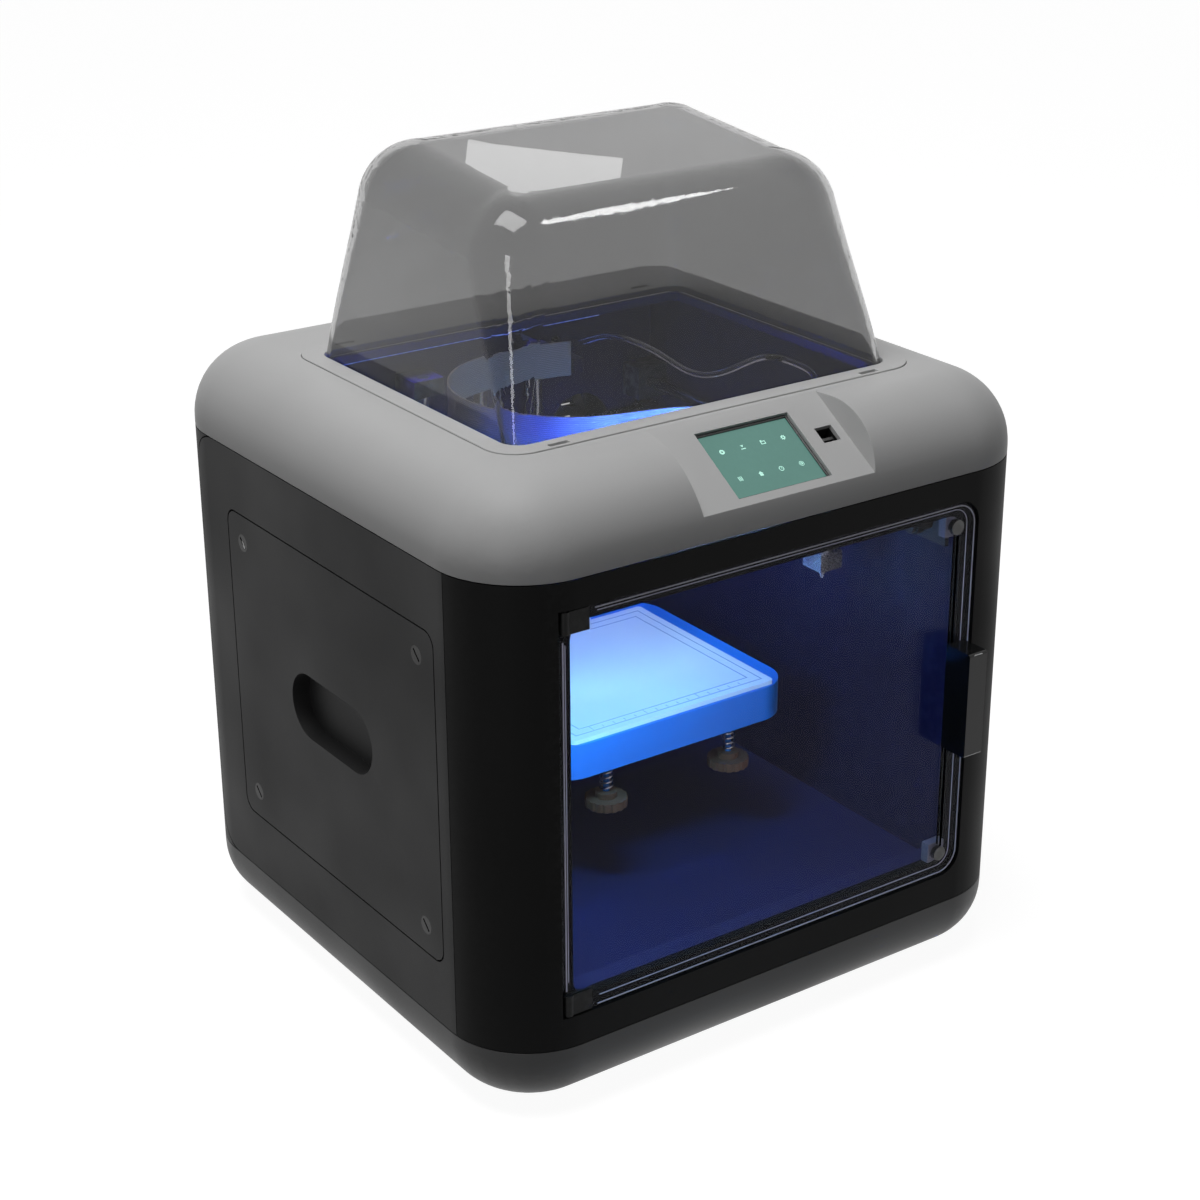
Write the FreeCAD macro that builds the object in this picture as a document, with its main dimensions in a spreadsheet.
"""A desktop printer that lays down melted plastic thread, in millimetres.

Origin: the centre of the footprint, on the surface that the feet stand on.
X runs to the right, Y to the back and Z up; the door faces -Y.
Every size below can be changed by itself; the pieces follow it.
"""

import FreeCAD
import Part
import math
import os
import re

Vector = FreeCAD.Vector

SIZES = {
    # casing
    "body_width": 420,
    "body_depth": 405,
    "deck_height": 410,
    "corner_round": 58,
    "top_round": 48,
    "bottom_round": 42,
    "wall": 3,
    "seam": 0.6,
    "cover_seam": 357,
    "base_seam": 51,
    "front_seam": 52,
    "rear_seam": 42,
    "panel_round": 25,
    "foot_radius": 13,
    "foot_height": 3,
    "foot_inset": 62,
    "base_vent_pitch": 26,
    "base_vent_width": 14,
    "base_vent_length": 60,
    # gaps between pieces
    "rest_gap": 0.3,
    "bearing_gap": 0.05,
    # door
    "door_width": 318,
    "door_height": 265,
    "door_centre": -5,
    "door_bottom": 73,
    "door_thick": 4,
    "door_inset": 1,
    "door_gap": 1,
    "door_seat": 9,
    "door_round": 16,
    "frame_depth": 12,
    "hinge_offset": 4,
    "barrel_radius": 3,
    "knuckle_length": 20,
    "knuckle_height": 14,
    "hinge_pin_radius": 1.5,
    "hinge_pin_length": 6,
    "magnet_radius": 5,
    "magnet_inset": 16,
    "catch_size": 14,
    "handle_width": 15,
    "handle_depth": 22,
    "handle_height": 73,
    "handle_inset": 5,
    "handle_centre": 206,
    "handle_wall": 3,
    "handle_round": 2,
    "handle_screw_inset": 12,
    "screw_head_radius": 2.5,
    # dome and the trim that it stands in
    "dome_width": 288,
    "dome_depth": 229,
    "dome_centre": -9.5,
    "dome_height": 140,
    "dome_top_width": 264,
    "dome_top_depth": 176,
    "dome_top_centre": -3.5,
    "dome_slope": 5.9,
    "dome_foot_round": 12,
    "dome_upright_round": 42,
    "dome_top_round": 40,
    "dome_wall": 3,
    "dome_fit": 0.6,
    "trim_width": 14,
    "trim_rise": 0.8,
    "trim_ledge": 6,
    "trim_lap": 3,
    "trim_round": 22,
    "latch_slot_length": 14,
    "latch_slot_width": 4,
    "latch_slot_spread": 118,
    "latch_slot_offset": 9.8,
    "latch_slot_depth": 1.5,
    # display
    "display_centre": 2,
    "display_width": 130,
    "display_tilt": 32,
    "display_setback": 59.5,
    "display_lean": 8,
    "screen_width": 71,
    "screen_length": 52,
    "screen_start": 10.5,
    "screen_lap": 3,
    "screen_thick": 8,
    "usb_offset": 52,
    "usb_start": 27,
    "usb_width": 13,
    "usb_length": 12,
    "usb_depth": 10,
    "usb_tongue": 2,
    "usb_wall": 2,
    # cover plates on both sides
    "plate_centre": -10,
    "plate_depth": 258,
    "plate_bottom": 94,
    "plate_height": 221,
    "plate_round": 10,
    "plate_groove": 1,
    "plate_ledge": 6,
    "grip_length": 102,
    "grip_height": 45,
    "grip_centre": 208,
    "grip_depth": 11,
    "grip_wall": 1.5,
    "lock_inset": 20,
    "lock_radius": 6,
    "lock_slot_length": 9,
    "lock_slot_width": 1.6,
    "lock_depth": 1,
    # chamber
    "chamber_left": -168,
    "chamber_right": 154,
    "chamber_back": 150,
    "chamber_floor_top": 70,
    "chamber_top_gap": 10,
    "liner": 3,
    "sill_height": 11,
    "sill_depth": 14,
    # lift of the build platform
    "lift_centre": -4,
    "lift_line": 132,
    "lift_rod_spread": 45,
    "rod_radius": 4,
    "lift_rod_top": 370,
    "clamp_width": 24,
    "clamp_height": 12,
    "screw_radius": 4,
    "screw_top": 365,
    "coupler_radius": 8,
    "coupler_length": 14,
    "motor_size": 42,
    "motor_length": 31,
    "motor_round": 4,
    "shaft_radius": 2.5,
    "shaft_reach": 8,
    "sleeve_radius": 7.5,
    "carrier_width": 142,
    "carrier_depth": 28,
    "carrier_bottom": 152,
    "carrier_height": 38,
    "carrier_round": 6,
    "beam_width": 18,
    "beam_height": 8,
    "beam_front": -55,
    # tray, build plate and levelling knobs
    "tray_width": 192,
    "tray_front": -98.5,
    "tray_depth": 172,
    "tray_bottom": 167,
    "tray_height": 24,
    "tray_round": 24,
    "tray_wall": 3,
    "bed_width": 162,
    "bed_depth": 153,
    "bed_front": -97,
    "bed_thick": 3,
    "bed_round": 3,
    "stud_radius": 2,
    "knob_radius": 14,
    "knob_thick": 6,
    "knob_hub_radius": 7,
    "knob_hub_height": 4,
    "dent_count": 16,
    "dent_radius": 1.4,
    "dent_offset": 0.6,
    "knob_bottom": 137,
    "knob_spread": 50,
    "knob_front": -88,
    "knob_rear": 60,
    "spring_radius": 4,
    "spring_wire": 0.7,
    # rails, belts and the print head
    "side_rail_inset": 14,
    "side_rail_height": 332,
    "side_rail_front": -176,
    "holder_width": 22,
    "holder_depth": 20,
    "holder_height": 24,
    "gantry_line": -118,
    "block_width": 20,
    "block_depth": 50,
    "block_top": 366,
    "block_round": 3,
    "idler_post_depth": 12,
    "cross_rail_height": 354,
    "cross_rail_spread": 18,
    "belt_height": 310,
    "belt_width": 6,
    "belt_thick": 1.2,
    "drive_line": 142,
    "guide_line": -160,
    "guide_pin_radius": 4,
    "head_centre": 98,
    "head_width": 52,
    "head_depth": 50,
    "head_bottom": 342,
    "head_round": 4,
    "cross_motor_size": 26,
    "cross_belt_height": 379,
    "extruder_top": 392,
    "feeder_inset": 2,
    "fitting_height": 4,
    "grille_start": 10,
    "grille_pitch": 8,
    "grille_slot": 4,
    "grille_depth": 3,
    "grille_line": 6,
    "grille_height": 6,
    "sink_radius": 11,
    "sink_bottom": 296,
    "fin_pitch": 6,
    "fin_depth": 4,
    "heater_size": 18,
    "heater_height": 12,
    "nozzle_height": 270,
    "nozzle_radius": 3.5,
    "nozzle_length": 8,
    # filament spool
    "spool_centre": -10,
    "spool_height": 208,
    "spool_radius": 75,
    "spool_width": 30,
    "spool_flange": 2,
    "wound_radius": 62,
    "spool_pin_radius": 6,
    # power, board, fan and lamps
    "supply_depth": 180,
    "supply_height": 88,
    "supply_thick": 29,
    "supply_bottom": 82,
    "supply_front": -110,
    "board_width": 160,
    "board_height": 150,
    "board_thick": 1.6,
    "board_bottom": 115,
    "board_standoff": 7,
    "board_margin": 6,
    "board_post_radius": 3,
    "driver_size": 18,
    "driver_pitch": 26,
    "driver_rise": 9,
    "driver_line": 100,
    "chip_size": 32,
    "chip_rise": 3,
    "chip_line": 50,
    "plug_row_length": 140,
    "plug_row_height": 12,
    "plug_row_rise": 11,
    "plug_row_line": 6,
    "inlet_centre": -120,
    "inlet_height": 105,
    "inlet_width": 48,
    "inlet_tall": 28,
    "inlet_depth": 20,
    "inlet_flange": 2,
    "inlet_lip": 2,
    "inlet_pin_spread": 7,
    "inlet_pin_rise": 2,
    "inlet_pin_width": 2,
    "inlet_pin_tall": 4,
    "plug_width": 24,
    "plug_tall": 17,
    "plug_depth": 14,
    "switch_width": 11,
    "switch_tall": 18,
    "switch_pin_radius": 1,
    "switch_pin_reach": 1.5,
    "rocker_sink": 6,
    "rocker_rise": 5,
    "fan_size": 60,
    "fan_thick": 15,
    "fan_centre": 90,
    "fan_height": 300,
    "fan_hub": 11,
    "fan_reach": 27,
    "fan_round": 4,
    "fan_bar_width": 3,
    "fan_bar_depth": 2,
    "fan_seat_depth": 3,
    "fan_axle_radius": 1.5,
    "blade_count": 7,
    "blade_thick": 1.2,
    "blade_width": 9,
    "blade_twist": 35,
    "vent_slot": 5,
    "lamp_height": 8,
    "lamp_thick": 3,
    "lamp_length": 220,
    # cables
    "ribbon_height": 24,
    "ribbon_thick": 1.2,
    "ribbon_bottom": 370,
    "arm_thick": 7.7,
    "arm_lap": 4,
    "tube_radius": 2,
}

# Places that several pieces share, worked out from the sizes above.
PLACES = {
    "half_width": "body_width / 2",
    "half_depth": "body_depth / 2",
    "front_split": "front_seam - half_depth",
    "rear_split": "half_depth - rear_seam",
    "door_left": "door_centre - door_width / 2",
    "door_right": "door_centre + door_width / 2",
    "door_top": "door_bottom + door_height",
    "door_face": "door_inset - half_depth",
    "door_back": "door_face + door_thick",
    "seat_face": "door_back + 2 * rest_gap",
    "frame_back": "frame_depth - half_depth",
    "hinge_x": "door_left + hinge_offset",
    "hinge_y": "door_face + door_thick / 2",
    "opening_left": "door_left + door_seat",
    "opening_right": "door_right - door_seat",
    "opening_bottom": "door_bottom + door_seat",
    "opening_top": "door_top - door_seat",
    "magnet_x": "door_right - magnet_inset",
    "handle_right": "door_right - handle_inset",
    "handle_left": "handle_right - handle_width",
    "handle_bottom": "handle_centre - handle_height / 2",
    "handle_top": "handle_centre + handle_height / 2",
    "handle_front": "door_face - handle_depth",
    "dome_left": "-dome_width / 2",
    "dome_right": "dome_width / 2",
    "dome_front": "dome_centre - dome_depth / 2",
    "dome_rear": "dome_centre + dome_depth / 2",
    "chamber_top": "deck_height - chamber_top_gap",
    "dome_base": "deck_height - wall + rest_gap",
    "display_top": "display_setback - half_depth",
    "plate_front": "plate_centre - plate_depth / 2",
    "plate_back": "plate_centre + plate_depth / 2",
    "plate_top": "plate_bottom + plate_height",
    "left_liner": "chamber_left - liner",
    "right_liner": "chamber_right + liner",
    "back_liner": "chamber_back + liner",
    "floor_under": "chamber_floor_top - liner",
    "coupler_bottom": "chamber_floor_top + 2 * rest_gap",
    "carrier_front": "lift_line - carrier_depth / 2",
    "carrier_top": "carrier_bottom + carrier_height",
    "tray_top": "tray_bottom + tray_height",
    "tray_back": "tray_front + tray_depth",
    "bed_bottom": "tray_top + rest_gap",
    "bed_top": "bed_bottom + bed_thick",
    "knob_top": "knob_bottom + knob_thick + knob_hub_height",
    "left_rail": "chamber_left + side_rail_inset",
    "right_rail": "chamber_right - side_rail_inset",
    "rail_back": "chamber_back - rest_gap",
    "block_front": "gantry_line - block_depth / 2",
    "block_back": "gantry_line + block_depth / 2",
    "block_bottom": "belt_height + guide_pin_radius + bearing_gap + belt_thick + rest_gap",
    "head_left": "head_centre - head_width / 2",
    "head_right": "head_centre + head_width / 2",
    "head_front": "gantry_line - head_depth / 2",
    "cross_belt_back": "head_front - rest_gap",
    "cross_belt_front": "cross_belt_back - belt_width",
    "cross_pulley": "left_rail + 4",
    "board_face": "back_liner + board_standoff",
    "supply_right": "left_liner",
    "spool_left": "right_liner + 3",
    "plug_x": "inlet_centre - plug_width / 2 + inlet_lip",
    "switch_x": "inlet_centre + inlet_width / 2 - inlet_lip - switch_width / 2 - rest_gap",
    "switch_y": "half_depth - 5",
    "inner_back": "half_depth - wall",
}

# The ribbon's route seen from above: X and Y of points on its middle line.
RIBBON_ROUTE = [(72, -106), (46, -98), (0, -76), (-52, -60), (-84, -22),
                (-88, 30), (-60, 70), (-10, 84), (34, 78)]

# The filament guide tube: points on its middle line.
TUBE_ROUTE = [(98, -106, 396.3), (97, -105, 404), (84, -100, 414), (64, -94, 420), (48, -84, 413),
              (43, -62, 404), (50, -10, 401), (62, 60, 396), (70, 106, 382), (70, 138, 371), (70, 158, 370)]

doc = FreeCAD.newDocument("desktop_printer")
sheet = doc.addObject("Spreadsheet::Sheet", "sizes")
finished = []


def fill_sheet():
    """Writes every size and shared place into the sheet under its name."""
    for row, (name, value) in enumerate(SIZES.items(), start=1):
        sheet.set(f"A{row}", str(value))
        sheet.setAlias(f"A{row}", name)
    for row, (name, formula) in enumerate(PLACES.items(), start=1):
        sheet.set(f"B{row}", "=" + formula)
        sheet.setAlias(f"B{row}", name)
    doc.recompute()


def size(formula):
    """The value in millimetres of a formula over the sheet's names."""
    return float(sheet.evalExpression(str(formula)))


def bind(piece, place, formula):
    """Ties a property of a piece to a formula over the sheet's names."""
    words = re.sub(r"[a-z]\w*", sheet_name, str(formula))
    piece.setExpression(place, words)


def sheet_name(match):
    """Points a word at the sheet, unless it is a function such as cos."""
    word = match.group(0)
    return "sizes." + word if word in SIZES or word in PLACES else word


def put(piece, x=0, y=0, z=0):
    """Ties the place of a piece to three formulas."""
    for side, formula in (("x", x), ("y", y), ("z", z)):
        bind(piece, "Placement.Base." + side, formula)
    return piece


def box(name, x, y, z):
    """A box between two formulas along each axis."""
    block = doc.addObject("Part::Box", name)
    for length, (low, high) in (("Length", x), ("Width", y), ("Height", z)):
        bind(block, length, f"({high}) - ({low})")
    return put(block, x[0], y[0], z[0])


def rod(name, radius, x, y, z):
    """A cylinder along the one axis that is given as a pair of formulas."""
    cylinder = doc.addObject("Part::Cylinder", name)
    bind(cylinder, "Radius", radius)
    turns = {0: (Vector(0, 1, 0), 90), 1: (Vector(1, 0, 0), -90), 2: (Vector(0, 0, 1), 0)}
    ends = [x, y, z]
    along = [isinstance(end, tuple) for end in ends].index(True)
    low, high = ends[along]
    cylinder.Placement = FreeCAD.Placement(Vector(), FreeCAD.Rotation(*turns[along]))
    bind(cylinder, "Height", f"({high}) - ({low})")
    ends[along] = low
    return put(cylinder, *ends)


def fuse(name, *pieces):
    """Joins pieces into one."""
    joined = doc.addObject("Part::MultiFuse", name)
    joined.Shapes = list(pieces)
    return joined


def cut(name, piece, *tools):
    """Takes tools away from a piece."""
    for number, tool in enumerate(tools, start=1):
        rest = doc.addObject("Part::Cut", f"{name}_{number}")
        rest.Base = piece
        rest.Tool = tool
        piece = rest
    return piece


def common(name, first, second):
    """What two pieces share."""
    shared = doc.addObject("Part::Common", name)
    shared.Base = first
    shared.Tool = second
    return shared


def group(name, *pieces):
    """Separate solids that share one node."""
    together = doc.addObject("Part::Compound", name)
    together.Links = list(pieces)
    return together


def rounded(name, x, y, z, corner, along="z", which=None):
    """A box whose edges along one axis are rounded; `which` can pick some of them."""
    body = doc.addObject("PartDesign::Body", name)
    block = body.newObject("PartDesign::AdditiveBox", name + "_block")
    for length, (low, high) in (("Length", x), ("Width", y), ("Height", z)):
        bind(block, length, f"({high}) - ({low})")
    put(body, x[0], y[0], z[0])
    doc.recompute()
    way = {"x": Vector(1, 0, 0), "y": Vector(0, 1, 0), "z": Vector(0, 0, 1)}[along]
    edges = [f"Edge{number}" for number, edge in enumerate(block.Shape.Edges, start=1)
             if abs(edge.tangentAt(0).dot(way)) > 0.99 and (which is None or which(edge.CenterOfMass))]
    round_edges(body, block, edges, corner)
    return body


def round_edges(body, feature, edges, radius):
    """Adds a fillet to named edges of the last feature of a body."""
    fillet = body.newObject("PartDesign::Fillet", body.Name + "_round")
    fillet.Base = (feature, edges)
    bind(fillet, "Radius", radius)
    body.Tip = fillet
    doc.recompute()
    return fillet


def edges_at(feature, height):
    """The edges of a feature that lie level at one height."""
    return [f"Edge{number}" for number, edge in enumerate(feature.Shape.Edges, start=1)
            if max(abs(edge.BoundBox.ZMin - height), abs(edge.BoundBox.ZMax - height)) < 0.01]


def own(name, shape):
    """A piece whose shape is made by Part's own functions."""
    piece = doc.addObject("Part::Feature", name)
    piece.Shape = shape
    return piece


def finish(node, piece):
    """Names a finished sub-part; its label names its file."""
    piece.Label = node
    finished.append(piece)


# ---------------------------------------------------------------- casing

def envelope(name, inset):
    """The rounded solid inside the casing's outer skin, set in by a wall."""
    body = doc.addObject("PartDesign::Body", name)
    block = body.newObject("PartDesign::AdditiveBox", name + "_block")
    bind(block, "Length", f"body_width - 2 * ({inset})")
    bind(block, "Width", f"body_depth - 2 * ({inset})")
    bind(block, "Height", f"deck_height - foot_height - 2 * ({inset})")
    put(body, f"{inset} - half_width", f"{inset} - half_depth", f"foot_height + {inset}")
    doc.recompute()
    uprights = [f"Edge{number}" for number, edge in enumerate(block.Shape.Edges, start=1)
                if abs(edge.tangentAt(0).z) > 0.99]
    sides = round_edges(body, block, uprights, f"corner_round - ({inset})")
    tall = size(f"deck_height - foot_height - 2 * ({inset})")
    top = round_edges(body, sides, edges_at(sides, tall), f"top_round - ({inset})")
    round_edges(body, top, edges_at(top, 0), f"bottom_round - ({inset})")
    return body


def front_region(name, gap):
    """The space that the front frame may fill."""
    return box(name, ("-body_width", "body_width"), ("-body_depth", f"front_split - {gap}"),
               (f"base_seam + {gap}", f"cover_seam - {gap}"))


def side_region(name, side, gap):
    """The space that a side panel may fill, rounded at the back."""
    span = ("-body_width", "-body_width / 4") if side == "left" else ("body_width / 4", "body_width")
    depth = size("rear_split - front_split")
    return rounded(name, span, (f"front_split + {gap}", f"rear_split - {gap}"),
                   (f"base_seam + {gap}", f"cover_seam - {gap}"), "panel_round", "x",
                   lambda point: point.y > depth / 2)


def shell(name):
    """The casing's skin: the outer envelope without the inner one."""
    return cut(name, envelope(name + "_outer", "0"), envelope(name + "_inner", "wall"))


def base_tray():
    """The bottom of the casing, with its rounded rim."""
    below = box("base_space", ("-body_width", "body_width"), ("-body_depth", "body_depth"),
                ("-1", "base_seam - seam / 2"))
    tray = common("base_skin", shell("base"), below)
    vents = [box(f"base_vent_{number}", (f"{number} * base_vent_pitch - base_vent_width / 2",
                                         f"{number} * base_vent_pitch + base_vent_width / 2"),
                 ("-base_vent_length / 2", "base_vent_length / 2"), ("0", "foot_height + wall + 1"))
             for number in range(-3, 4)]
    finish("base_tray", cut("base_tray_open", tray, *vents))


def rubber_feet():
    """Four round feet under the base."""
    feet = [rod(f"foot_{number}", "foot_radius", f"{right} * (half_width - foot_inset)",
                f"{back} * (half_depth - foot_inset)", ("0", "foot_height"))
            for number, (right, back) in enumerate([(-1, -1), (1, -1), (-1, 1), (1, 1)])]
    finish("rubber_feet", group("feet", *feet))


def door_opening(name):
    """The way into the chamber through the front frame."""
    return rounded(name, ("opening_left", "opening_right"), ("-body_depth", "frame_back + 1"),
                   ("opening_bottom", "opening_top"), "door_round - door_seat / 2", "y")


def front_frame():
    """The dark frame around the door, with the rebate that the door closes into."""
    skin = common("frame_skin", envelope("frame_outer", "0"), front_region("frame_region", "seam / 2"))
    hollow = common("frame_hollow", envelope("frame_inner", "wall"),
                    box("frame_behind", ("-body_width", "body_width"), ("frame_back", "body_depth"),
                        ("0", "deck_height")))
    rebate = rounded("frame_rebate", ("door_left - door_gap", "door_right + door_gap"),
                     ("-body_depth", "seat_face"), ("door_bottom - door_gap", "door_top + door_gap"),
                     "door_round", "y", lambda point: point.x > size("door_width") / 2)
    groove = rod("frame_groove", "hinge_offset + door_gap", "hinge_x", "hinge_y",
                 ("door_bottom - door_gap", "door_top + door_gap"))
    pins = rod("frame_pin_holes", "hinge_pin_radius + bearing_gap", "hinge_x", "hinge_y",
               ("door_bottom - hinge_pin_length - door_gap", "door_top + hinge_pin_length + door_gap"))
    finish("front_frame", cut("frame", skin, hollow, rebate, door_opening("frame_opening"), groove, pins))


def side_panel(side):
    """A dark side wall with the opening for its cover plate and a ledge behind it."""
    sign = -1 if side == "left" else 1
    name = side + "_panel"
    skin = common(name + "_skin", shell(name), side_region(name + "_region", side, "seam / 2"))
    hole = side_block(name + "_hole", side, ("half_width - 2 * wall", "half_width + 1"), "0")
    ledge = side_block(name + "_ledge", side, ("half_width - 2 * wall", "half_width - wall"), "plate_ledge")
    within = side_block(name + "_within", side, ("half_width - 3 * wall", "half_width"), "-plate_ledge")
    opened = cut(name + "_open", skin, hole)
    rim = cut(name + "_rim", ledge, within)
    finish(side + "_side_panel", fuse(name + "_whole", opened, rim))


def side_block(name, side, span, grow):
    """A rounded block over a cover plate's outline, grown on all four sides."""
    low, high = span
    across = (f"-({high})", f"-({low})") if side == "left" else (low, high)
    return rounded(name, across, (f"plate_front - ({grow})", f"plate_back + {grow}"),
                   (f"plate_bottom - ({grow})", f"plate_top + {grow}"), f"plate_round + ({grow}) / 2", "x")


def rear_shell():
    """The back of the casing, with the holes for the fan and the power inlet."""
    level = box("rear_space", ("-body_width", "body_width"), ("0", "body_depth"),
                ("base_seam + seam / 2", "cover_seam - seam / 2"))
    skin = common("rear_skin", shell("rear"), level)
    sides = [side_region(f"rear_{side}", side, "-seam / 2") for side in ("left", "right")]
    inlet = box("rear_inlet", ("inlet_centre - inlet_width / 2", "inlet_centre + inlet_width / 2"),
                ("0", "body_depth"), ("inlet_height - inlet_tall / 2", "inlet_height + inlet_tall / 2"))
    slots = [box(f"rear_slot_{number}", ("fan_centre - fan_reach", "fan_centre + fan_reach"),
                 ("0", "body_depth"), (f"fan_height + {2 * number} * vent_slot - vent_slot / 2",
                                       f"fan_height + {2 * number} * vent_slot + vent_slot / 2"))
             for number in range(-2, 3)]
    finish("rear_shell", cut("rear_open", skin, *sides, inlet, *slots))


def display_place(piece, x, depth, slope):
    """Lays a piece on the sloping display face: `depth` out of it and `slope` down it."""
    bind(piece, "Placement.Rotation.Angle", "90 + display_tilt")
    return put(piece, f"display_centre + ({x})",
               f"display_top - ({depth}) * sin(display_tilt) - ({slope}) * cos(display_tilt)",
               f"deck_height + ({depth}) * cos(display_tilt) - ({slope}) * sin(display_tilt)")


def display_box(name, x, depth, slope):
    """A box on the display face, between two formulas along each of its own axes."""
    block = doc.addObject("Part::Box", name)
    block.Placement.Rotation = FreeCAD.Rotation(Vector(1, 0, 0), 90)
    for length, (low, high) in (("Length", x), ("Width", depth), ("Height", slope)):
        bind(block, length, f"({high}) - ({low})")
    return display_place(block, x[0], depth[0], slope[0])


def display_recess(name, grow):
    """The leaning space that is cut away in front of the display face."""
    wedge = doc.addObject("Part::Wedge", name)
    wedge.Placement.Rotation = FreeCAD.Rotation(Vector(1, 0, 0), 90)
    half = f"display_width / 2 + {grow}"
    limits = {"Xmin": f"-({half})", "Xmax": half, "X2min": f"-({half}) - display_lean",
              "X2max": f"{half} + display_lean", "Ymin": f"-({grow})", "Ymax": "display_setback / 2",
              "Zmin": f"-({grow})", "Z2min": f"-({grow})", "Zmax": "2 * display_setback",
              "Z2max": "2 * display_setback"}
    for limit, formula in limits.items():
        bind(wedge, limit, formula)
    return display_place(wedge, "0", "0", "0")


def dome_outline(name, z, grow, corner):
    """A rounded block over the foot of the dome, grown on all four sides."""
    return rounded(name, (f"dome_left - ({grow})", f"dome_right + {grow}"),
                   (f"dome_front - ({grow})", f"dome_rear + {grow}"), z, corner)


def top_cover():
    """The silver cover: rounded edges, the display recess and the hole for the dome."""
    above = box("cover_space", ("-body_width", "body_width"), ("-body_depth", "body_depth"),
                ("cover_seam + seam / 2", "2 * deck_height"))
    skin = common("cover_skin", envelope("cover_outer", "0"), above)
    hollow = cut("cover_hollow", envelope("cover_inner", "wall"), display_recess("recess_back", "wall"))
    well = dome_outline("cover_well", ("cover_seam", "2 * deck_height"), "trim_width + rest_gap",
                        "trim_round + rest_gap")
    window = display_box("cover_window", ("-screen_width / 2", "screen_width / 2"), ("-2 * wall", "wall"),
                         ("screen_start", "screen_start + screen_length"))
    port = display_box("cover_port", ("usb_offset - usb_width / 2", "usb_offset + usb_width / 2"),
                       ("-2 * wall", "wall"), ("usb_start", "usb_start + usb_length"))
    finish("top_cover", cut("cover", skin, display_recess("recess", "0"), hollow, well, window, port))


def deck_trim():
    """The ring around the dome, with the ledge that the dome stands on."""
    face = dome_outline("trim_face", ("deck_height - wall", "deck_height + trim_rise"), "trim_width",
                        "trim_round")
    flange = dome_outline("trim_flange", ("deck_height - 2 * wall - trim_ledge / 2", "deck_height - wall"),
                          "trim_width + trim_lap", "trim_round + trim_lap")
    upper = dome_outline("trim_upper", ("deck_height - wall", "2 * deck_height"), "dome_fit",
                         "dome_foot_round + dome_fit")
    lower = dome_outline("trim_lower", ("cover_seam", "2 * deck_height"), "-trim_ledge",
                         "dome_foot_round - trim_ledge")
    slots = [box(f"latch_slot_{number}",
                 (f"{right} * latch_slot_spread - latch_slot_length / 2",
                  f"{right} * latch_slot_spread + latch_slot_length / 2"),
                 (f"{line} - latch_slot_width / 2", f"{line} + latch_slot_width / 2"),
                 ("deck_height - latch_slot_depth", "2 * deck_height"))
             for number, (right, line) in enumerate(
                 [(-1, "dome_front - latch_slot_offset"), (1, "dome_front - latch_slot_offset"),
                  (-1, "dome_rear + latch_slot_offset"), (1, "dome_rear + latch_slot_offset")])]
    finish("deck_trim", cut("trim", fuse("trim_ring", face, flange), upper, lower, *slots,
                            display_recess("trim_recess", "wall + rest_gap")))


def touch_screen():
    """The display with its glass, clamped under its window."""
    finish("touch_screen", display_box(
        "screen", ("-screen_width / 2 - screen_lap", "screen_width / 2 + screen_lap"),
        ("-wall - screen_thick", "-wall"),
        ("screen_start - screen_lap", "screen_start + screen_length + screen_lap")))


def usb_socket():
    """The socket for a memory stick beside the display."""
    low, high = "usb_offset - usb_width / 2", "usb_offset + usb_width / 2"
    can = display_box("usb_can", (f"{low} - usb_wall", f"{high} + usb_wall"), ("-wall - usb_depth", "-wall"),
                      ("usb_start - usb_wall", "usb_start + usb_length + usb_wall"))
    hollow = display_box("usb_hollow", (low, high), ("-wall - usb_depth + usb_wall", "0"),
                         ("usb_start", "usb_start + usb_length"))
    tongue = display_box("usb_tongue_bar", (f"{low} + usb_wall / 2", f"{high} - usb_wall / 2"),
                         ("-wall - usb_depth + usb_wall / 2", "-wall - usb_wall / 2"),
                         ("usb_start + usb_length / 2", "usb_start + usb_length / 2 + usb_tongue"))
    finish("usb_socket", fuse("usb", cut("usb_shell", can, hollow), tongue))


# ------------------------------------------------------------------ door

def door_panel():
    """The clear panel, notched for its hinge knuckles and drilled for its magnets."""
    middle = size("door_width") / 2
    sheet_of_plastic = rounded("door_sheet", ("door_left", "door_right"), ("door_face", "door_back"),
                               ("door_bottom", "door_top"), "door_round", "y",
                               lambda point: point.x > middle)
    notches = [box(f"door_notch_{number}", ("door_left - 1", "door_left + knuckle_length"),
                   ("door_face - 1", "door_back + 1"), ends)
               for number, ends in enumerate([("door_bottom - 1", "door_bottom + knuckle_height"),
                                              ("door_top - knuckle_height", "door_top + 1")])]
    holes = [rod(f"magnet_hole_{number}", "magnet_radius", "magnet_x", ("door_face - 1", "door_back + 1"), z)
             for number, z in enumerate(["door_bottom + magnet_inset", "door_top - magnet_inset"])]
    finish("door_panel", cut("door", sheet_of_plastic, *notches, *holes))


def door_hinges():
    """Two knuckles on the door, each with the pin that turns in the frame."""
    knuckles = []
    for number, (low, high, pin) in enumerate([
            ("door_bottom", "door_bottom + knuckle_height",
             ("door_bottom - hinge_pin_length", "door_bottom + 1")),
            ("door_top - knuckle_height", "door_top", ("door_top - 1", "door_top + hinge_pin_length"))]):
        leaf = box(f"leaf_{number}", ("hinge_x", "door_left + knuckle_length"), ("door_face", "door_back"),
                   (low, high))
        barrel = rod(f"barrel_{number}", "barrel_radius", "hinge_x", "hinge_y", (low, high))
        stem = rod(f"hinge_pin_{number}", "hinge_pin_radius", "hinge_x", "hinge_y", pin)
        knuckles.append(fuse(f"knuckle_{number}", leaf, barrel, stem))
    finish("door_hinges", group("hinges", *knuckles))


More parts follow.
